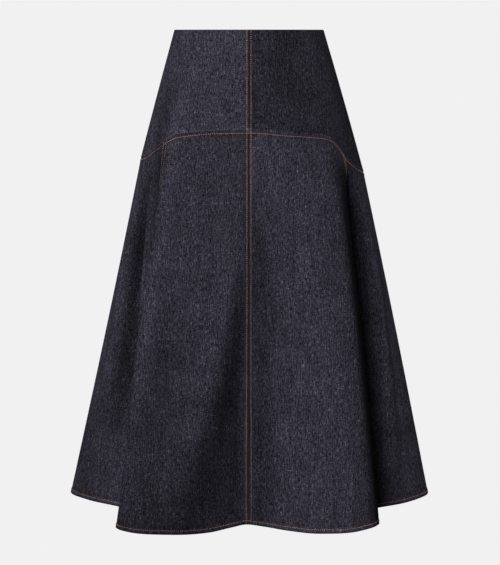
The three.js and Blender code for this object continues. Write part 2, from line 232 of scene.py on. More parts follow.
# Painted shade and highlight on the folds. The hollows of the real folds are darker than these soft ones
# alone would be, so the cloth in them is painted darker, and some crests are painted paler. Here height is
# the share of the cloth's brightness that goes, or comes where it is negative, and the widths are in degrees.
PAINTED_FOLD_LIGHT = table(
    "top foot top_bearing middle_bearing foot_bearing before after height opens fade",
    (0.96, 2.20, 66, 62.5, 67, 6, 8, 0.9, 0, 0.14),
    (0.96, 2.20, 70.5, 71, 72.5, 6, 6, 0.8, 0, 0.14),
    (0.99, 1.90, -75.5, -75, -75, 3.5, 3.5, 0.7, 0.3, 0.3),
    (0.98, 1.36, -62, -62, -61, 4.5, 4.5, 0.6, 0, 0.25),
    (0.30, 1.15, -66, -67, -64, 5, 6, 0.4, 0, 0.3),
    (0.97, 1.38, -67, -71, -74, 9, 6, 0.4, 0, 0.3),
    (0.35, 1.80, -57, -56, -55, 3.5, 4.5, -0.3, 0, 0.25),
    (1.25, 1.90, -8, -22, -37, 4, 4, -0.3, 0.2, 0.3),
    (1.08, 2.15, 6, 7, 7, 9, 9, 0.45, 0, 0.2),
    (1.48, 2.20, -8, -23, -46, 12, 7, 0.43, 0.5, 0.25),
    (1.35, 2.20, -44, -48, -50, 7, 12, 0.3, 0, 0.3),
    (-0.20, 0.80, 36, 36, 36, 13, 9, 0.15, 0, 0.3),
    (1.25, 2.20, 52, 52, 51, 10, 9, -0.2, 0, 0.3),
    (1.55, 2.40, -84, -84, -82, 11, 9, 0.28, 0, 0.3),
    (-0.20, 1.02, 60, 60, 60, 13, 12, -0.3, 0, 0.15),
    (1.20, 1.95, -160, -162, -166, 5, 4, 0.25, 0, 0.35),
    (1.10, 1.95, 128, 128, 129, 6, 6, 0.3, 0, 0.3),
    (1.10, 1.95, -126, -127, -124, 6, 6, 0.3, 0, 0.3),
)


def table_curve(rows, along, column, turn=0):
    """A smooth curve through a table's column that never overshoots it. A turn of 360 closes it on itself."""
    x, y = rows[along], rows[column]
    if turn:
        x = np.concatenate([x[-2:] - turn, x, x[:2] + turn])
        y = np.concatenate([y[-2:], y, y[:2]])
    slope = np.diff(y) / np.diff(x)
    before, after = np.r_[slope[0], slope], np.r_[slope, slope[-1]]
    same = before * after > 0
    total = np.where(same, before + after, 1)
    tangent = np.where(same, 2 * before * after / total, 0)

    def value(at):
        k = np.clip(np.searchsorted(x, at, side="left") - 1, 0, len(x) - 2)
        width = x[k + 1] - x[k]
        t = (at - x[k]) / width
        bend = tangent[k] * (1 - t) - tangent[k + 1] * t
        return y[k] + (y[k + 1] - y[k]) * t * t * (3 - 2 * t) + width * t * (1 - t) * bend

    return value


half_width = table_curve(HIP_RINGS, "down", "half")
front_depth = table_curve(HIP_RINGS, "down", "front")
back_depth = table_curve(HIP_RINGS, "down", "back")
seam_down = table_curve(YOKE_SEAM, "bearing", "down", 360)
fold_lean = table_curve(FOLDS, "bearing", "lean", 360)
fold_reach = table_curve(FOLDS, "bearing", "reach", 360)
fold_late = table_curve(FOLDS, "bearing", "late", 360)


def polar(bearing, reach, down):
    """The point that far out on a bearing and that far down."""
    angle = np.radians(bearing)
    return np.stack([reach * np.sin(angle), -reach * np.cos(angle), -down + 0 * angle], axis=-1)


def oval_reach(bearing, half, front, back):
    """How far out a rounded oval lies on a bearing, from half its width and its two depths."""
    angle = np.radians(bearing)
    depth = np.where(np.cos(angle) > 0, front, back)
    across = np.abs(np.sin(angle) / half) ** ROUNDNESS
    return (across + np.abs(np.cos(angle) / depth) ** ROUNDNESS) ** (-1 / ROUNDNESS)


def hip(bearing, down):
    """A point of the fitted hips."""
    return polar(bearing, oval_reach(bearing, half_width(down), front_depth(down), back_depth(down)), down)


def plain_cloth(bearing, level):
    """The outside of the cloth without its creases. Level 0 is the waist edge, 1 the yoke seam, 2 the hem."""
    seam = seam_down(bearing)
    above = hip(bearing, seam * np.minimum(level, 1))
    fall = np.maximum(level - 1, 0)[..., None]
    flared = polar(bearing, oval_reach(bearing, HEM_OVAL["half"], HEM_OVAL["front"], HEM_OVAL["back"]),
                   LENGTH + 0 * bearing)
    folded = polar(bearing + fold_lean(bearing), fold_reach(bearing), LENGTH + 0 * bearing)
    opened = fall ** fold_late(bearing)[..., None]
    point = above + (flared - above) * fall + (folded - flared) * opened
    point[..., 0] += SWAY * np.sin(-point[..., 2] * math.pi / LENGTH) * (1 - bump(bearing, STEADY))
    return point


def slopes(bearing, level):
    """The way the cloth faces, and its millimetres per degree round and per level down."""
    turn, drop = 0.2, 0.01
    across = (plain_cloth(bearing + turn, level) - plain_cloth(bearing - turn, level)) / (2 * turn)
    low, high = np.minimum(level + drop, 2), np.maximum(level - drop, 0)
    down = (plain_cloth(bearing, low) - plain_cloth(bearing, high)) / (low - high)[..., None]
    facing = np.cross(down, across)
    facing /= np.linalg.norm(facing, axis=-1, keepdims=True)
    below = level >= 1
    low, high = np.where(below, low, np.minimum(low, 1)), np.where(below, np.maximum(high, 1), high)
    fall = np.linalg.norm(plain_cloth(bearing, low) - plain_cloth(bearing, high), axis=-1) / (low - high)
    return facing, np.linalg.norm(across, axis=-1), fall


def bump(x, width):
    """A soft rise that is 1 at nought and goes to nothing past the width."""
    return np.exp(-((x / width) ** 2))


def step(x, start, end):
    """A soft slope, from 0 at the start to 1 at the end."""
    t = np.clip((x - start) / (end - start), 0, 1)
    return t * t * (3 - 2 * t)


def least_turn(degrees):
    """The same turn, as one from -180 to 180 degrees."""
    return (degrees + 180) % 360 - 180


def run_of(crease, bearing, level, per_degree):
    """How strongly a crease is felt at a place, from 0 to 1."""
    part = (level - crease["top"]) / (crease["foot"] - crease["top"])
    ends = crease["top_bearing"] * (1 - part) + crease["foot_bearing"] * part
    bow = crease["middle_bearing"] - (crease["top_bearing"] + crease["foot_bearing"]) / 2
    away = least_turn(bearing - ends - 4 * bow * part * (1 - part))
    width = np.where(away < 0, crease["before"], crease["after"]) * (1 + crease["opens"] * (2 * part - 1))
    fade = step(part, 0, crease["fade"]) * (1 - step(part, 1 - crease["fade"], 1))
    return fade * bump(away * per_degree / np.maximum(width, 1), 1)


# Upright seams: the bearing, from which level to which it runs, and how high and deep it is worked. A twin
# seam stands up between its rows, with a fine ditch at its middle. A plain one is pressed open. The front
# seams drift round by some degrees as they leave the yoke, until they have settled at a level.
UPRIGHT_SEAMS = table(
    "bearing top foot raised ditch twin",
    (0, 0, 2, 0.35, 0.8, 1),
    (FRONT_SEAM, 1, 2, 0.45, 0.6, 1),
    (-FRONT_SEAM, 1, 2, 0.45, 0.6, 1),
    (BACK_SEAM, 1, 2, 0.45, 0.6, 1),
    (-BACK_SEAM, 1, 2, 0.45, 0.6, 1),
    (90, 0, 1, 0.15, 0.4, 0),
    (-90, 0, 1, 0.15, 0.4, 0),
    (180, 0, 1.08, 0.25, 0.7, 0),
    (180, 1.08, 2, 0.45, 0.6, 1),
)
DRIFTS = table("bearing by starts settled", (FRONT_SEAM, 6, 0.94, 1.06), (-FRONT_SEAM, 1.2, 0.94, 1.2))
ROUNDING = 1e-9  # of a level, at the ends of a seam
# What sewing does to the cloth beside a twin seam, and beside the waist edge, 0, the yoke seam, 1, and the
# hem edge, 2: a soft line that many millimetres from it rises or sinks, and is drawn paler, partly worn pale
# and partly a painted highlight, or, where that is negative, darker, a painted shade with some thread fuzz.
TWIN_LINES = table(
    "at width height rubbed",
    (TWIN_HALF, 0.8, -0.3, 0), (0, 2.2, 0, -0.9), (6.5, 2.2, 0, -0.35), (4.4, 0.7, 0, 0.3),
)
EDGE_LINES = table(
    "edge at width height rubbed",
    (0, 0, 0.9, -0.8, 0), (0, 0, 2.5, 0, -0.5),
    (1, 0, 1.4, 0.35, 0), (1, 2.4, 1.3, -0.55, 0), (1, YOKE_ROW, 0.8, -0.3, 0),
    (1, 0, 1.2, 0, 0.5), (1, 3.4, 2.0, 0, -0.65), (1, 9.5, 2.6, 0, -0.45),
    (2, 0, 0.8, -0.7, 0), (2, HEM_ROW, 0.8, -0.25, 0),
    (2, 0, 1.6, 0, -0.7), (2, 4.4, 1.0, 0, 0.4), (2, 10.5, 1.8, 0, -0.4),
)
# Over a turned-in edge the cloth stands up. It starts to rise, is at its full height, starts to fall and is
# level again so many millimetres from the yoke seam, 1, or the hem edge, 2.
TURNED = table(
    "edge height rises full falls level",
    (1, 0.3, 2.5, 4, YOKE_ROW + 0.6, YOKE_ROW + 2.4),
    (2, 0.5, -1, 0, HEM_TURN - 1.5, HEM_TURN),
)
# The edge of an upright seam's raised part and the width of its ditch, the puckers along a twin seam, the
# slanting ridges of the turned hem, and the thick knot where the seams cross at centre front, drawn pale,
# partly worn and partly a painted highlight.
SHOULDER = {"falls": TWIN_HALF + 0.8, "level": TWIN_HALF + 2.6}
DITCH = 0.8
RIPPLE = {"height": 0.16, "reach": 9, "short": 2.9, "long": 7.3}
ROPING = {"height": 0.14, "at": 3, "reach": 3.5, "round": 1.9, "up": 1.3}
CROSSING = {"height": 1.1, "rubbed": 4, "under": 1, "wide": 3.2, "tall": 3}


def seam_at(bearing, level):
    """Where an upright seam lies at a level."""
    bearings = bearing + 0.0 * level
    for drift in DRIFTS[DRIFTS["bearing"] == bearing]:
        bearings = bearings + drift["by"] * step(level, drift["starts"], drift["settled"])
    return bearings


def cloth(bearing, level, lift=0.0):
    """A point of the worked cloth, in metres: its folds, creases, seams and hem. It is raised by lift.
    Also how it is drawn there, from -1, painted shade in a ditch by the thread, to 1, pale on an edge, partly
    worn and partly a painted highlight; and how much of its brightness the painted shade of a deep fold
    leaves."""
    bearing, level = np.broadcast_arrays(np.asarray(bearing, float), np.asarray(level, float))
    facing, per_degree, per_level = slopes(bearing, level)
    height = np.zeros(bearing.shape)
    rubbed = np.zeros(bearing.shape)
    painted_fold_light = np.ones(bearing.shape)
    for crease in CREASES:
        height += crease["height"] * run_of(crease, bearing, level, per_degree)
    # Painted shade in the fold hollows, and a painted highlight on some crests.
    for hollow in PAINTED_FOLD_LIGHT:
        painted_fold_light *= 1 - hollow["height"] * run_of(hollow, bearing, level, 1)
    for seam in UPRIGHT_SEAMS:
        away = least_turn(bearing - seam_at(seam["bearing"], level)) * per_degree
        size = np.abs(away)
        here = (level >= seam["top"] - ROUNDING) * (level <= seam["foot"] + ROUNDING)
        worked = seam["raised"] * (1 - step(size, SHOULDER["falls"], SHOULDER["level"]))
        worked -= seam["ditch"] * bump(away, DITCH)
        ripple = np.sin(level * per_level / RIPPLE["short"] + seam["bearing"])
        ripple = ripple * np.sin(level * per_level / RIPPLE["long"])
        worked += RIPPLE["height"] * seam["twin"] * ripple * bump(away, RIPPLE["reach"])
        height += worked * here
        # Paler and darker lines beside the seam: partly wear, partly painted highlight and painted shade.
        for line in TWIN_LINES:
            felt = here * seam["twin"] * bump(size - line["at"], line["width"])
            height += line["height"] * felt
            rubbed += line["rubbed"] * felt
    from_edge = (level * per_level, (level - 1) * per_level, (2 - level) * per_level)
    # Paler and darker lines along the edges: partly wear, partly painted highlight and painted shade.
    for line in EDGE_LINES:
        felt = bump(from_edge[int(line["edge"])] - line["at"], line["width"])
        height += line["height"] * felt
        rubbed += line["rubbed"] * felt
    for turned in TURNED:
        distance = from_edge[int(turned["edge"])]
        risen = step(distance, turned["rises"], turned["full"])
        height += turned["height"] * risen * (1 - step(distance, turned["falls"], turned["level"]))
    _, under, up = from_edge
    roping = np.sin(bearing * per_degree / ROPING["round"] + up / ROPING["up"])
    height += ROPING["height"] * roping * bump(up - ROPING["at"], ROPING["reach"])
    crossing = bump(bearing * per_degree, CROSSING["wide"])
    crossing = crossing * bump(under - CROSSING["under"], CROSSING["tall"])
    height += CROSSING["height"] * crossing
    # A painted highlight on the knot, partly wear.
    rubbed += CROSSING["rubbed"] * crossing
    point = plain_cloth(bearing, level) + facing * (height + lift)[..., None]
    return point * MM, facing, np.clip(rubbed, -1, 1), painted_fold_light


# The uneven threads of the denim, as noise: its grain across the warp and along it, in millimetres, how fine
# it goes, how it is turned, and its share of the mix. The last two are the warp's bands and the dye's clouds.
SLUBS = table(
    "across along detail turn share",
    (1.8, 40, 1, 0, 0.17), (1.7, 7, 0, 0, 0.24), (6, 1.7, 0, 0, 0.13), (1.6, 2.2, 1, 0, 0.34),
    (1.8, 5, 0, -28, 0.12), (7, 90, 1, 0, 0), (26, 40, 3, 0, 0),
)


def add(tree, kind, settings=None, **links):
    """Add a node with its settings, and link or set its inputs. An input is named, with _ for a space, or
    is numbered, as i0."""
    node = tree.nodes.new(kind)
    for key, value in (settings or {}).items():
        setattr(node, key, value)
    for key, value in links.items():
        name = key.replace("_", " ")
        socket = node.inputs[int(key[1:])] if key[0] == "i" and key[1:].isdigit() else node.inputs[name]
        if isinstance(value, bpy.types.NodeSocket):
            tree.links.new(value, socket)
        else:
            socket.default_value = value
    return node


def denim_finish(name, dark, light, weft, fuzz_and_painted_shade, contrast):
    """Rigid 3 by 1 twill, matt: ring-spun warp that is dark and uneven, with specks of pale weft between.
    Its threads are 0.5 mm apart, finer than a pixel, so the slubs are drawn 2 to 3 mm wide."""
    material, tree, shader = new_material(name)
    uv = add(tree, "ShaderNodeUVMap", {"uv_map": "cloth"}).outputs[0]
    noises = []
    grain = 0.0
    for slub in SLUBS:
        scaled = add(tree, "ShaderNodeMapping", {"vector_type": "TEXTURE"}, Vector=uv,
                     Rotation=(0, 0, math.radians(slub["turn"])),
                     Scale=(slub["across"] * MM, slub["along"] * MM, 1))
        noise = add(tree, "ShaderNodeTexNoise", {"noise_dimensions": "2D"}, Vector=scaled.outputs[0],
                    Scale=1.0, Detail=slub["detail"], Roughness=0.6).outputs[0]
        noises.append(noise)
        if slub["share"]:
            grain = add(tree, "ShaderNodeMath", {"operation": "MULTIPLY_ADD"}, i0=noise, i1=slub["share"],
                        i2=grain).outputs[0]
    # Pale raised edges, partly worn and partly a painted highlight, and dark ditches, a painted shade with
    # some thread fuzz.
    painted_light_and_wear = add(tree, "ShaderNodeAttribute", {"attribute_name": "rubbed"}).outputs["Fac"]
    pale_wear_and_highlight = add(tree, "ShaderNodeMapRange", {}, Value=painted_light_and_wear, To_Max=0.13).outputs[0]
    ditch = add(tree, "ShaderNodeMapRange", {}, Value=painted_light_and_wear, From_Max=-1.0, To_Max=0.72).outputs[0]
    lifted = add(tree, "ShaderNodeMath", {"operation": "ADD"}, i0=grain, i1=pale_wear_and_highlight).outputs[0]
    level = add(tree, "ShaderNodeMapRange", {}, Value=lifted, From_Min=0.5 - contrast,
                From_Max=0.5 + contrast).outputs[0]
    warp = add(tree, "ShaderNodeMix", {"data_type": "RGBA"}, i0=level, i6=linear(dark), i7=linear(light))
    fleck = add(tree, "ShaderNodeMapRange", {}, Value=lifted, From_Min=0.5 + 0.8 * contrast,
                From_Max=0.5 + 2.4 * contrast, To_Max=0.8).outputs[0]
    flecked = add(tree, "ShaderNodeMix", {"data_type": "RGBA"}, i0=fleck, i6=warp.outputs[2], i7=linear(weft))
    # Cloth in the ditches is drawn toward a dark brown: painted shade, with some thread fuzz.
    sunk = add(tree, "ShaderNodeMix", {"data_type": "RGBA"}, i0=ditch, i6=flecked.outputs[2],
               i7=linear(fuzz_and_painted_shade))
    bands = add(tree, "ShaderNodeMapRange", {}, Value=noises[-2], From_Min=0.3, From_Max=0.7,
                To_Min=0.9, To_Max=1.1).outputs[0]
    cloud = add(tree, "ShaderNodeMapRange", {}, Value=noises[-1], From_Min=0.3, From_Max=0.7,
                To_Min=0.84, To_Max=1.16).outputs[0]
    # Painted light and shade, read from the cloth: each piece's own and that of its folds.
    painted_light = add(tree, "ShaderNodeAttribute", {"attribute_name": "painted_light"}).outputs["Fac"]
    shade = add(tree, "ShaderNodeMath", {"operation": "MULTIPLY"}, i0=cloud, i1=painted_light).outputs[0]
    shade = add(tree, "ShaderNodeMath", {"operation": "MULTIPLY"}, i0=shade, i1=bands).outputs[0]
    colour = add(tree, "ShaderNodeHueSaturation", {}, Color=sunk.outputs[2], Value=shade)
    tree.links.new(colour.outputs[0], shader.inputs["Base Color"])
    relief = add(tree, "ShaderNodeBump", {}, Height=level, Strength=0.6, Distance=0.4 * MM)
    tree.links.new(relief.outputs[0], shader.inputs["Normal"])
    shader.inputs["Roughness"].default_value = 0.85
    shader.inputs["Specular IOR Level"].default_value = 0.03
    shader.inputs["Sheen Weight"].default_value = 0.003
    shader.inputs["Sheen Roughness"].default_value = 0.6
    shader.inputs["Sheen Tint"].default_value = linear("B9B6D0")
    return material


# The outside, and the wrong side, which is paler because most of the weft lies there.
# The fourth colour is the painted shade in the seam ditches, with some thread fuzz.
denim = denim_finish("raw_indigo_denim", "15141B", "3E3C47", "74717D", "2B1D1C", 0.112)
denim_back = denim_finish("raw_denim_wrong_side", "626673", "A3A7B0", "C4C6CA", "5A5A66", 0.12)

# Where a piece has its columns and rows, in millimetres.
EDGE_PLACES = np.array([0, 0.5, 1.1, 1.9, 2.7, 3.3, 3.9, 4.7, 5.7, 7, 9])  # columns beside a seam
ROW_PLACES = np.array([0, 0.5, 1.2, 2.2, 3.4, 4.6, 5.4, 6.0, 6.6, 7.4, 8.6, 10.5])  # rows beside one
WIDE = 4.5  # spacing of the columns and rows elsewhere
MEASURING_STEPS = 900  # across a piece, to space its columns evenly
YOKE_LAID = 170  # where the lower pieces start in the flat layout


def between(start, end, spacing):
    """Even places about a spacing apart, between two ends and without them."""
    count = max(int(round((end - start) / spacing)), 2)
    return np.linspace(start, end, count + 1)[1:-1]


def grid_piece(name, points, materials, wall):
    """A sheet through rows of points, its outside the way the cloth faces, with a wall that thick inside.
    Also the row and column of each of its corners."""
    bm = bmesh.new()
    count_down, count_across = points.shape[:2]
    bmesh.ops.create_grid(bm, x_segments=count_across - 1, y_segments=count_down - 1, size=1)
    piece = finish_mesh(bm, name, materials)
    mesh = piece.data
    start = np.zeros(len(mesh.vertices) * 3)
    mesh.vertices.foreach_get("co", start)
    start = start.reshape(-1, 3)
    row = np.rint((1 - start[:, 1]) / 2 * (count_down - 1)).astype(int)
    column = np.rint((start[:, 0] + 1) / 2 * (count_across - 1)).astype(int)
    mesh.vertices.foreach_set("co", points[row, column].ravel())
    mesh.update()
    shell = piece.modifiers.new("wall", "SOLIDIFY")
    shell.thickness = wall * MM
    shell.offset = -1
    shell.use_even_offset = False
    return piece, shell, row, column


def lay_out(mesh, places):
    """The flat layout of a piece, in metres, from the place of each of its corners."""
    corner = np.zeros(len(mesh.loops), int)
    mesh.loops.foreach_get("vertex_index", corner)
    mesh.uv_layers.new(name="cloth").data.foreach_set("uv", (places * MM)[corner].ravel())


def cut_piece(name, left, right, top, foot, grain, painted_light=1.0):
    """One cut piece, between two bearings and two levels, as a sheet with a wall inside. The warp runs
    parallel to the grain bearing.
    Tone is painted light and shade: how much lighter or darker its whole cloth is drawn than the others, for
    how the light falls on it."""
    middle = np.array([(left + right) / 2])
    tall = float(slopes(middle, np.array([(top + foot) / 2]))[2][0]) * (foot - top)
    rows = np.r_[ROW_PLACES, between(ROW_PLACES[-1], tall - ROW_PLACES[-1], WIDE), tall - ROW_PLACES[::-1]]
    levels = top + (foot - top) * rows / tall
    share = np.linspace(0, 1, MEASURING_STEPS)
    lefts, rights = seam_at(left, levels)[:, None], seam_at(right, levels)[:, None]
    fine = lefts + (rights - lefts) * share
    lines = plain_cloth(fine, np.broadcast_to(levels[:, None], fine.shape))
    gaps = np.linalg.norm(np.diff(lines, axis=1), axis=2)
    along = np.cumsum(np.insert(gaps, 0, 0, axis=1), axis=1)
    widest = along[:, -1].max()
    inner = between(EDGE_PLACES[-1], widest - EDGE_PLACES[-1], WIDE)
    shares = (inner - EDGE_PLACES[-1]) / (widest - 2 * EDGE_PLACES[-1])
    bearings, places = [], []
    for line, turns in zip(along, fine):
        wide = line[-1]
        places_here = np.r_[EDGE_PLACES, EDGE_PLACES[-1] + shares * (wide - 2 * EDGE_PLACES[-1]),
                            wide - EDGE_PLACES[::-1]]
        bearings.append(np.interp(places_here, line, turns))
        places.append(places_here - np.interp(grain, turns, line))
    bearings, places = np.array(bearings), np.array(places)
    level_grid = np.broadcast_to(levels[:, None], bearings.shape)
    points, _, rubbed, painted_fold_light = cloth(bearings, level_grid)
    piece, wall, row, column = grid_piece(name, points, [denim, denim_back, denim, denim], HEM_THICK)
    mesh = piece.data
    flat_down = np.broadcast_to(-(rows + (0 if top == 0 else YOKE_LAID))[:, None], bearings.shape)
    lay_out(mesh, np.stack([places[row, column], flat_down[row, column]], axis=1))
    # Pale edges, partly worn and partly a painted highlight, and ditches in painted shade.
    mesh.attributes.new("rubbed", "FLOAT", "POINT").data.foreach_set("value", rubbed[row, column])
    # Painted light and shade: the piece's own, times the painted shade and highlight of its folds.
    mesh.attributes.new("painted_light", "FLOAT", "POINT").data.foreach_set("value", painted_light * painted_fold_light[row, column])
    group = piece.vertex_groups.new(name="thickness")
    in_hem = (level_grid[row, column] > 2 - HEM_TURN / tall * (foot - top)) & (foot == 2)
    group.add(np.where(in_hem)[0].tolist(), 1.0, "REPLACE")
    group.add(np.where(~in_hem)[0].tolist(), CLOTH / HEM_THICK, "REPLACE")
    # The hem is turned up, so the outside of the cloth shows on its inside too: the wall behind a face takes
    # the material after its own, which is the wrong side after the first and the outside after the third.
    turned = np.zeros(len(mesh.polygons), int)
    for polygon in mesh.polygons:
        if all(in_hem[v] for v in polygon.vertices):
            turned[polygon.index] = 2
    mesh.polygons.foreach_set("material_index", turned)
    wall.vertex_group = "thickness"
    wall.material_offset = 1
    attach(piece, "skirt")
    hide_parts(name.replace("denim_", ""))


# Their tones paint light and shade over each whole piece: the one on the wearer's right darker, the other a
# little lighter.
cut_piece("denim_front_panel_left", 0, FRONT_SEAM, 1, 2, 0,
          painted_light=1.04)
cut_piece("denim_front_panel_right", -FRONT_SEAM, 0, 1, 2, 0,
          painted_light=0.84)

# The side gores: one wide piece each side, of the same denim, let in between the front and back panels to
# give the skirt its flare. Each carries the deep fold beside the front and the lobe at the side.
# Their tones paint light over each whole piece: the left one much lighter, for the lit lobe at the side.
cut_piece("denim_side_gore_left", FRONT_SEAM, BACK_SEAM, 1, 2, 90,
          painted_light=1.5)
cut_piece("denim_side_gore_right", -BACK_SEAM, -FRONT_SEAM, 1, 2, -90,
          painted_light=1.18)

# The back panels: two pieces of the same denim, joined at centre back under the zip.
cut_piece("denim_back_panel_left", BACK_SEAM, 180, 1, 2, 180)
cut_piece("denim_back_panel_right", -180, -BACK_SEAM, 1, 2, -180)

# The yoke: four fitted pieces over the hips, front and back, seamed at the sides and at centre front, and
# closed at centre back by the zip. Their lower edges are sewn over the panels and gores. The front left one
# is painted much darker than the others, a painted shade for the light falling off across the front.
cut_piece("denim_front_yoke_left", 0, 90, 0, 1, 0, painted_light=0.60)
cut_piece("denim_front_yoke_right", -90, 0, 0, 1, 0, painted_light=1.01)
cut_piece("denim_back_yoke_left", 90, 180, 0, 1, 180, painted_light=0.9)
cut_piece("denim_back_yoke_right", -180, -90, 0, 1, -180, painted_light=1.1)

# The concealed zip at centre back. Two woven polyester tapes are sewn behind the edges of the opening, with
# nylon coils along them and a crimped brass stop at the foot. The slider is behind the cloth, and its pull
# tab hangs outside, both of dull antiqued brass.
ZIP = {"length": 220, "tape": 14, "top": 3, "clear": 1.1, "behind": 1.8, "thick": 0.7}
TAPE_GRID = {"columns": 15, "rows": 90}
TAPE_RIB = 1.0  # the width that a rib is drawn
COIL = {"top": 15, "pitch": 1.5, "out": 1.8, "past": 0.5, "thick": 0.95, "tall": 0.75, "sunk": 0.35}
STOP = {"wide": 5, "thick": 2.2, "tall": 3.6, "rounded": 0.5, "sunk": 0.4}


def tape_weave(name, dark, light):
    """Fine polyester tape, woven in slanting ribs with a faint shine. They are 0.4 mm wide, too fine to show,
    and are drawn 1 mm wide."""
    material, tree, shader = new_material(name)
    uv = add(tree, "ShaderNodeUVMap", {"uv_map": "cloth"}).outputs[0]
    ribs = add(tree, "ShaderNodeTexWave", {"bands_direction": "DIAGONAL", "wave_profile": "TRI"}, Vector=uv,
               Scale=0.314 / (TAPE_RIB * MM), Distortion=0.4)
    noise = add(tree, "ShaderNodeTexNoise", {}, Vector=uv, Scale=1 / (3 * MM), Detail=3.0).outputs[0]
    mixed = add(tree, "ShaderNodeMath", {"operation": "MULTIPLY"}, i0=ribs.outputs[1], i1=noise).outputs[0]
    colour = add(tree, "ShaderNodeMix", {"data_type": "RGBA"}, i0=mixed, i6=linear(dark), i7=linear(light))
    tree.links.new(colour.outputs[2], shader.inputs["Base Color"])
    relief = add(tree, "ShaderNodeBump", {}, Height=mixed, Strength=0.4, Distance=0.15 * MM)
    tree.links.new(relief.outputs[0], shader.inputs["Normal"])
    shader.inputs["Roughness"].default_value = 0.7
    shader.inputs["Specular IOR Level"].default_value = 0.3
    return material


def moulded_nylon(name, dark, light):
    """Dyed nylon monofilament, smooth and a little glossy."""
    material, tree, shader = new_material(name)
    place = add(tree, "ShaderNodeTexCoord").outputs["Object"]
    noise = add(tree, "ShaderNodeTexNoise", {}, Vector=place, Scale=1 / (2 * MM), Detail=2.0).outputs[0]
    colour = add(tree, "ShaderNodeMix", {"data_type": "RGBA"}, i0=noise, i6=linear(dark), i7=linear(light))
    tree.links.new(colour.outputs[2], shader.inputs["Base Color"])
    shader.inputs["Roughness"].default_value = 0.38
    return material


def antique_brass(name, dark, light):
    """Die-cast metal plated in dull brass, mottled browner in places and lightly scuffed."""
    material, tree, shader = new_material(name)
    place = add(tree, "ShaderNodeTexCoord").outputs["Object"]
    cloud = add(tree, "ShaderNodeTexNoise", {}, Vector=place, Scale=1 / (4 * MM), Detail=4.0).outputs[0]
    grain = add(tree, "ShaderNodeTexNoise", {}, Vector=place, Scale=1 / (0.5 * MM), Detail=2.0).outputs[0]
    level = add(tree, "ShaderNodeMapRange", {}, Value=cloud, From_Min=0.35, From_Max=0.65).outputs[0]
    colour = add(tree, "ShaderNodeMix", {"data_type": "RGBA"}, i0=level, i6=linear(dark), i7=linear(light))
    tree.links.new(colour.outputs[2], shader.inputs["Base Color"])
    dull = add(tree, "ShaderNodeMapRange", {}, Value=grain, To_Min=0.42, To_Max=0.62).outputs[0]
    tree.links.new(dull, shader.inputs["Roughness"])
    relief = add(tree, "ShaderNodeBump", {}, Height=grain, Strength=0.2, Distance=0.05 * MM)
    tree.links.new(relief.outputs[0], shader.inputs["Normal"])
    shader.inputs["Metallic"].default_value = 1.0
    return material


zip_tape = tape_weave("polyester_zip_tape", "0B0B0F", "2A2A33")
zip_coil = moulded_nylon("nylon_zip_coil", "0E0E13", "1E1E26")
zip_brass = antique_brass("antique_brass", "352A1D", "594831")


def back_level(down):
    """The level at that many millimetres below the waist on the centre-back line."""
    seam = seam_down(np.array(180.0))
    return np.where(down <= seam, down / seam, 1 + (down - seam) / (LENGTH - seam))


def behind_opening(across, down, depth):
    """A point across from the centre-back line and behind the cloth, in millimetres, and how it is turned."""
    level = back_level(np.asarray(down, float))
    facing, per_degree, _ = slopes(np.full(level.shape, 180.0), level)
    point = plain_cloth(180 - across / per_degree, level)
    return point - facing * depth, facing


for hand, side in (("left", 1), ("right", -1)):
    columns = side * np.linspace(ZIP["clear"], ZIP["clear"] + ZIP["tape"], TAPE_GRID["columns"])[:: -side]
    rows = np.linspace(ZIP["top"], ZIP["length"], TAPE_GRID["rows"])
    grid = np.stack([behind_opening(place, rows, ZIP["behind"])[0] for place in columns], axis=1)
    tape, _, row, column = grid_piece(f"woven_zip_tape_{hand}", grid * MM, [zip_tape], ZIP["thick"])
    lay_out(tape.data, np.stack([columns[column], -rows[row]], axis=1))
    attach(tape, "skirt")
    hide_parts(f"zip_tape_{hand}")


def bead(rings, long, wide, tall):
    """The corners and faces of a rounded bead, lying along X with its middle at the origin."""
    bm = bmesh.new()
    bmesh.ops.create_uvsphere(bm, u_segments=6, v_segments=rings, radius=0.5)
    bmesh.ops.rotate(bm, verts=bm.verts[:], matrix=Matrix.Rotation(math.pi / 2, 3, "Y"))
    bmesh.ops.scale(bm, verts=bm.verts[:], vec=(long, wide, tall))
    bm.verts.index_update()
    corners = np.array([v.co[:] for v in bm.verts])
    faces = [[v.index for v in face.verts] for face in bm.faces]
    bm.free()
    return corners, faces


def joined_beads(name, copies, faces, material):
    """One object of many beads, from the corners of each in millimetres and the faces of one."""
    count = len(copies[0])
    all_faces = [[k * count + corner for corner in face] for k in range(len(copies)) for face in faces]
    mesh = bpy.data.meshes.new(name)
    mesh.from_pydata((np.concatenate(copies) * MM).tolist(), [], all_faces)
    mesh.materials.append(material)
    mesh.polygons.foreach_set("use_smooth", [True] * len(mesh.polygons))
    piece = bpy.data.objects.new(name, mesh)
    bpy.context.scene.collection.objects.link(piece)
    return piece


# The loops of the coil: the two sides mesh, half a pitch apart.
loop_corners, loop_faces = bead(5, COIL["out"] + COIL["past"], COIL["thick"], COIL["tall"])
loops = []
for side in (1, -1):
    first = COIL["top"] + side * COIL["pitch"] / 4
    for down in np.arange(first, ZIP["length"] - STOP["tall"], COIL["pitch"]):
        middle, facing = behind_opening(side * (COIL["out"] - COIL["past"]) / 2, down,
                                        ZIP["behind"] + ZIP["thick"] + COIL["sunk"])
        along = np.cross(facing, (1, 0, 0))
        loops.append(middle + loop_corners @ np.stack([(1, 0, 0), facing, along]))
coils = joined_beads("zip_coils", loops, loop_faces, zip_coil)
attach(coils, "skirt")

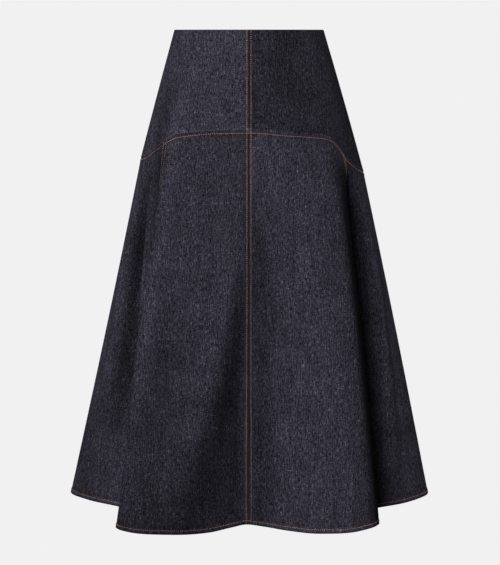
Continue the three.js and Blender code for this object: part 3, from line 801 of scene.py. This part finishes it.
# The stop, crimped round the foot of both coils.
bm = bmesh.new()
bmesh.ops.create_cube(bm, size=1)
bmesh.ops.scale(bm, verts=bm.verts[:], vec=(STOP["wide"], STOP["thick"], STOP["tall"]))
bmesh.ops.bevel(bm, geom=bm.edges[:], offset=STOP["rounded"], segments=3, profile=0.5, affect="EDGES",
                material=-1)
middle, facing = behind_opening(0, ZIP["length"] - STOP["tall"] / 2,
                                ZIP["behind"] + ZIP["thick"] + STOP["sunk"])
turn = Matrix((Vector((1, 0, 0)), Vector(facing), Vector((1, 0, 0)).cross(Vector(facing)))).transposed()
bmesh.ops.transform(bm, verts=bm.verts[:], matrix=Matrix.Translation(middle) @ turn.to_4x4())
bmesh.ops.scale(bm, verts=bm.verts[:], vec=(MM, MM, MM))
stop = finish_mesh(bm, "zip_stop", [zip_brass])
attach(stop, "skirt")

# The slider and its pull tab, cast with rounded edges.
SAME_PLACE = 0.001  # millimetres; corners nearer than this are one
for node, name, body, edge in (("zip_slider", "cast_zip_slider", "skirt", 0.3),
                               ("zip_pull", "cast_zip_pull", "pull", 0.25)):
    bm = bmesh.new()
    bm.from_mesh(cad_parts[node].data)
    bmesh.ops.remove_doubles(bm, verts=bm.verts[:], dist=SAME_PLACE * MM)
    bmesh.ops.dissolve_limit(bm, angle_limit=math.radians(1), verts=bm.verts[:], edges=bm.edges[:])
    bmesh.ops.recalc_face_normals(bm, faces=bm.faces[:])
    sharp = [e for e in bm.edges if e.is_manifold and e.calc_face_angle() > math.radians(30)]
    bmesh.ops.bevel(bm, geom=sharp, offset=edge * MM, segments=3, profile=0.5, affect="EDGES", material=-1,
                    clamp_overlap=True)
    piece = finish_mesh(bm, name, [zip_brass], smooth=False)
    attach(piece, body)
    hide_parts(node)

# The topstitching: thick copper-brown polyester-cotton thread, about 8 stitches to the inch. Two rows hold
# the seams at centre front and centre back and those of the gores, one row the yoke's lower edge, and one
# the hem.
STITCH = {"pitch": 3.1, "long": 1.9, "thick": 1.05, "proud": 0.2}
AIM = 1.5  # millimetres ahead and behind, where the row gives a stitch its direction
TWIST = 0.4  # millimetres from one turn of the thread to the next


def sewing_thread(name, colours):
    """Three-ply corespun thread with a slight lustre. Its twist, 0.4 mm a turn, is drawn as slanting bands,
    which show only close up."""
    material, tree, shader = new_material(name)
    uv = add(tree, "ShaderNodeUVMap", {"uv_map": "thread"}).outputs[0]
    twist = add(tree, "ShaderNodeMapping", {}, Vector=uv, Rotation=(0, 0, math.radians(35)))
    bands = add(tree, "ShaderNodeTexWave", {"bands_direction": "X"}, Vector=twist.outputs[0],
                Scale=0.32 / TWIST, Distortion=0.6)
    spots = add(tree, "ShaderNodeTexNoise", {}, Vector=add(tree, "ShaderNodeTexCoord").outputs["Object"],
                Scale=1 / (3 * MM), Detail=1.0)
    tint = add(tree, "ShaderNodeMapRange", {}, Value=spots.outputs[0], From_Min=0.35, From_Max=0.65)
    base = add(tree, "ShaderNodeMix", {"data_type": "RGBA"}, i0=tint.outputs[0], i6=linear(colours[0]),
               i7=linear(colours[1]))
    dark = add(tree, "ShaderNodeMapRange", {}, Value=bands.outputs[0], To_Min=0.75, To_Max=1.1)
    # Thread in a fold takes the fold's painted shade and highlight.
    painted_light = add(tree, "ShaderNodeAttribute", {"attribute_name": "painted_light"}).outputs["Fac"]
    shade = add(tree, "ShaderNodeMath", {"operation": "MULTIPLY"}, i0=dark.outputs[0], i1=painted_light)
    shaded = add(tree, "ShaderNodeHueSaturation", {}, Color=base.outputs[2], Value=shade.outputs[0])
    tree.links.new(shaded.outputs[0], shader.inputs["Base Color"])
    relief = add(tree, "ShaderNodeBump", {}, Height=bands.outputs[0], Strength=0.4, Distance=0.1 * MM)
    tree.links.new(relief.outputs[0], shader.inputs["Normal"])
    shader.inputs["Roughness"].default_value = 0.5
    shader.inputs["Specular IOR Level"].default_value = 0.4
    return material


copper_thread = sewing_thread("copper_topstitch_thread", ("8C6C62", "B89A90"))
STITCH_CORNERS, STITCH_FACES = bead(6, STITCH["long"], STITCH["thick"], STITCH["thick"])


def sew(name, *rows):
    """Rows of stitches as one mesh. Each row is the bearings and levels that it runs through."""
    stitches, along_thread, painted_lights = [], [], []
    for bearings, levels in rows:
        points = cloth(bearings, levels, STITCH["proud"])[0] / MM
        run = np.r_[0, np.cumsum(np.linalg.norm(np.diff(points, axis=0), axis=1))]
        middles = np.arange(STITCH["pitch"] / 2, run[-1] - STITCH["pitch"] / 3, STITCH["pitch"])
        bearing, level = np.interp(middles, run, bearings), np.interp(middles, run, levels)
        centre, facing, _, painted_fold_light = cloth(bearing, level, STITCH["proud"])
        ahead = np.stack([np.interp(middles + AIM, run, points[:, k]) for k in range(3)], axis=1)
        behind = np.stack([np.interp(middles - AIM, run, points[:, k]) for k in range(3)], axis=1)
        forward = ahead - behind
        forward /= np.linalg.norm(forward, axis=1, keepdims=True)
        side = np.cross(facing, forward)
        side /= np.linalg.norm(side, axis=1, keepdims=True)
        out = np.cross(forward, side)
        for k in range(len(middles)):
            axes = np.stack([forward[k], side[k], out[k]])
            stitches.append(centre[k] / MM + STITCH_CORNERS @ axes)
            along_thread.append(STITCH_CORNERS[:, :2] + (middles[k], 0))
            # Each stitch takes the painted shade or highlight of the fold it lies in.
            painted_lights += [painted_fold_light[k]] * len(STITCH_CORNERS)
    piece = joined_beads(name, stitches, STITCH_FACES, copper_thread)
    mesh = piece.data
    corner = np.zeros(len(mesh.loops), int)
    mesh.loops.foreach_get("vertex_index", corner)
    mesh.uv_layers.new(name="thread").data.foreach_set("uv", np.concatenate(along_thread)[corner].ravel())
    mesh.attributes.new("painted_light", "FLOAT", "POINT").data.foreach_set("value", painted_lights)
    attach(piece, "skirt")


ROW_STEPS = {"upright": 700, "round": 2400}


def row_beside(seam, offset, top, foot):
    """A row that many millimetres from an upright seam, between two levels."""
    levels = np.linspace(top, foot, ROW_STEPS["upright"])
    bearings = seam_at(seam, levels)
    return bearings + offset / slopes(bearings, levels)[1], levels


def row_round(start, end, level, offset):
    """A row that many millimetres below a level, between two bearings."""
    bearings = np.linspace(start, end, ROW_STEPS["round"])
    levels = np.full(len(bearings), float(level))
    just_inside = np.clip(levels, 0, 1.999) + 0.0005
    return bearings, levels + offset / slopes(bearings, just_inside)[2]


ROW_TOPS = {"waist": 0.006, "yoke": 1.002, "zip": 1.09}  # the levels where upright rows start
CUFF = 2 - 0.0025  # and where they end, just above the hem edge
OPENING_SIDE = 178.2  # the bearing of the opening's edge at the yoke seam
sew("stitches_centre_front", *(row_beside(0, side * TWIN_HALF, ROW_TOPS["waist"], CUFF) for side in (-1, 1)))
for hand, sign in (("left", 1), ("right", -1)):
    for place, seam in (("front", FRONT_SEAM), ("back", BACK_SEAM)):
        sew(f"stitches_{place}_seam_{hand}",
            *(row_beside(sign * seam, side * TWIN_HALF, ROW_TOPS["yoke"], CUFF) for side in (-1, 1)))
sew("stitches_centre_back", *(row_beside(180, side * TWIN_HALF, ROW_TOPS["zip"], CUFF) for side in (-1, 1)))
sew("stitches_yoke_seam", row_round(-OPENING_SIDE, OPENING_SIDE, 1.0, YOKE_ROW))
sew("stitches_hem", row_round(-180, 180, 2.0, -HEM_ROW))
